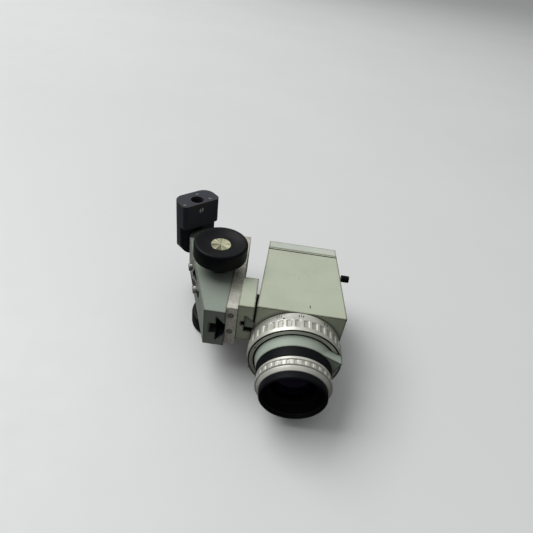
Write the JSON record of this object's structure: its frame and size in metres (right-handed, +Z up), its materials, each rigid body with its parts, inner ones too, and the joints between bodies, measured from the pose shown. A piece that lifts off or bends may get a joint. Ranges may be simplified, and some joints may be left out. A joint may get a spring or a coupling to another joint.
{
  "type": "optical camera head with focusing drive",
  "caption": "Boxed optical head with a fluted focus ring and lens nose, carried by an arm on a rack-and-pinion dovetail slide with two knobs and a tilting stand socket.",
  "frame": {"origin": "centre of the lens barrel's front rim, on the optical axis", "axes": "-Y looks out of the lens along the optical axis, +Z is up through the painted body's top face and along the pillar bore, +X is to the right as seen from in front of the lens and above; the head lies on the body's lower face at z = -37.5 mm"},
  "size_m": [0.1662, 0.1786, 0.0975],
  "materials": {
    "cream_paint": "semi-gloss cream green enamel",
    "grey_paint": "satin grey-green enamel",
    "black_enamel": "satin black enamel",
    "black_plastic": "moulded phenolic, satin gloss",
    "satin_steel": "turned, lightly worn",
    "turned_steel": "radially turned face",
    "satin_chrome": "satin chrome",
    "worn_steel": "bare, ground, stained and worn",
    "brass": "machined",
    "black_anodised": "black anodised, satin",
    "coated_glass": "polished, purple anti-reflection coating",
    "filter_glass": "polished green filter"
  },
  "bodies": {
    "drive": {"focus_housing": "grey_paint", "pinion_bush_top": "brass", "pinion_bush_bottom": "brass", "side_strap": "satin_steel", "side_screws": "satin_steel", "pivot_pin": "satin_steel", "pivot_nut": "satin_steel"},
    "socket": {"stand_socket": "black_enamel", "socket_cap": "black_enamel", "socket_cap_screws": "satin_steel"},
    "pillar_clamp": {"pillar_screw": "satin_steel"},
    "pinion": {"pinion_shaft": "satin_steel", "pinion_gear": "brass", "knob_top": "black_plastic", "knob_bottom": "black_plastic", "knob_top_disc": "turned_steel", "knob_bottom_disc": "turned_steel", "knob_washers": "satin_steel", "knob_setscrews": "satin_steel"},
    "carriage": {"slide_plate": "worn_steel", "slide_dovetail": "satin_steel", "dovetail_screws": "satin_steel", "focus_rack": "brass", "rack_screws": "satin_steel", "plate_end_screws": "satin_steel", "arm_bracket": "cream_paint", "arm_screws": "satin_steel", "clamp_strip": "satin_steel", "body_rail": "grey_paint", "rail_screws": "satin_steel", "body_shell": "cream_paint", "rear_cover": "cream_paint", "cover_screws": "satin_steel", "port_ring": "black_anodised", "port_window": "coated_glass", "filter_guides": "black_anodised", "stem_bush": "satin_steel", "nose_tube": "grey_paint", "nose_screws": "satin_steel", "index_ring": "satin_chrome", "black_ring": "black_anodised", "lens_barrel": "black_anodised", "front_lens": "coated_glass", "lens_spacer": "black_anodised", "rear_lens": "coated_glass", "lens_retainer": "black_anodised"},
    "arm_clamp": {"arm_clamp_screw": "satin_steel"},
    "focus_ring": {"fluted_ring": "satin_chrome", "ring_drive_pin": "satin_steel"},
    "lens_cell": {"focus_cell": "black_anodised", "focus_lens": "coated_glass", "cell_retainer": "black_anodised", "cell_key": "satin_steel"},
    "lock_ring": {"lens_ring": "satin_chrome"},
    "selector": {"selector_knob": "black_plastic", "selector_stem": "satin_steel", "filter_frame": "black_anodised", "filter_glass": "filter_glass"}
  },
  "joints": [
    {"name": "socket_tilt", "type": "hinge", "parent": "drive", "child": "socket", "pos_m": [-0.10312, 0.15888, 0.0185], "axis": [0.7071, -0.7071, 0], "range_deg": [-60, 60]},
    {"name": "pillar_screw_turn", "type": "hinge", "parent": "socket", "child": "pillar_clamp", "pos_m": [-0.0987, 0.1527, 0.0525], "axis": [-0.7071, 0.7071, 0], "range_deg": [-360, 0]},
    {"name": "focus_slide", "type": "slide", "parent": "drive", "child": "carriage", "axis": [0, 1, 0], "range_m": [-0.02, 0.02]},
    {"name": "pinion_turn", "type": "hinge", "parent": "drive", "child": "pinion", "pos_m": [-0.072, 0.102, 0.0106], "axis": [0, 0, 1], "range_deg": [-240, 240]},
    {"name": "arm_clamp_turn", "type": "hinge", "parent": "carriage", "child": "arm_clamp", "pos_m": [-0.0397, 0.072, 0], "axis": [0, 0, 1], "range_deg": [0, 270]},
    {"name": "focus_ring_turn", "type": "hinge", "parent": "carriage", "child": "focus_ring", "pos_m": [0, 0.043, 0], "axis": [0, 1, 0], "range_deg": [-60, 60]},
    {"name": "focus_cell_travel", "type": "slide", "parent": "carriage", "child": "lens_cell", "axis": [0, 1, 0], "range_m": [-0.0031, 0.0031]},
    {"name": "lock_ring_turn", "type": "hinge", "parent": "carriage", "child": "lock_ring", "pos_m": [0, 0.011, 0], "axis": [0, 1, 0], "range_deg": [0, 90]},
    {"name": "selector_pull", "type": "slide", "parent": "carriage", "child": "selector", "axis": [1, 0, 0], "range_m": [0, 0.018]}
  ],
  "couplings": [
    {"joint": "pinion_turn", "follows": "focus_slide", "rad_per_m": 208.33},
    {"joint": "focus_cell_travel", "follows": "focus_ring_turn", "m_per_rad": -0.0028648}
  ]
}
